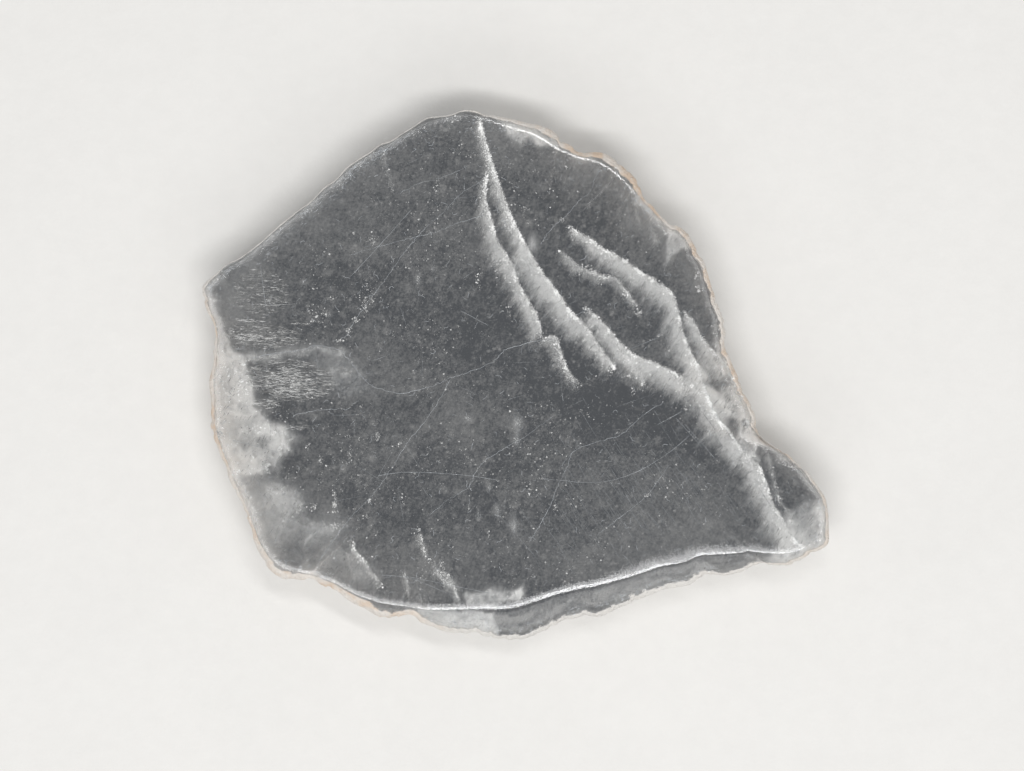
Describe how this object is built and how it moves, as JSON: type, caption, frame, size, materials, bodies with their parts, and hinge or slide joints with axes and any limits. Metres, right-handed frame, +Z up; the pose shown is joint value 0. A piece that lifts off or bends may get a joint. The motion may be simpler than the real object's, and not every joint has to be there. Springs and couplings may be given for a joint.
{
  "type": "ulexite slab",
  "caption": "Flat translucent slab of fibrous ulexite, polished on its upper face, with a rounded rim, broken fluted flanks and a sawn base that it lies on.",
  "frame": {"origin": "centre of the outline's box, on the sawn base", "axes": "+X along the slab towards its rounded lobe, +Z up out of the polished face"},
  "size_m": [0.0788, 0.0668, 0.01],
  "materials": {
    "ulexite": "translucent smoky grey with silky white fibre bundles, polished above and broken on the flanks"
  },
  "bodies": {
    "root": {"ulexite_slab": "ulexite"}
  },
  "joints": []
}
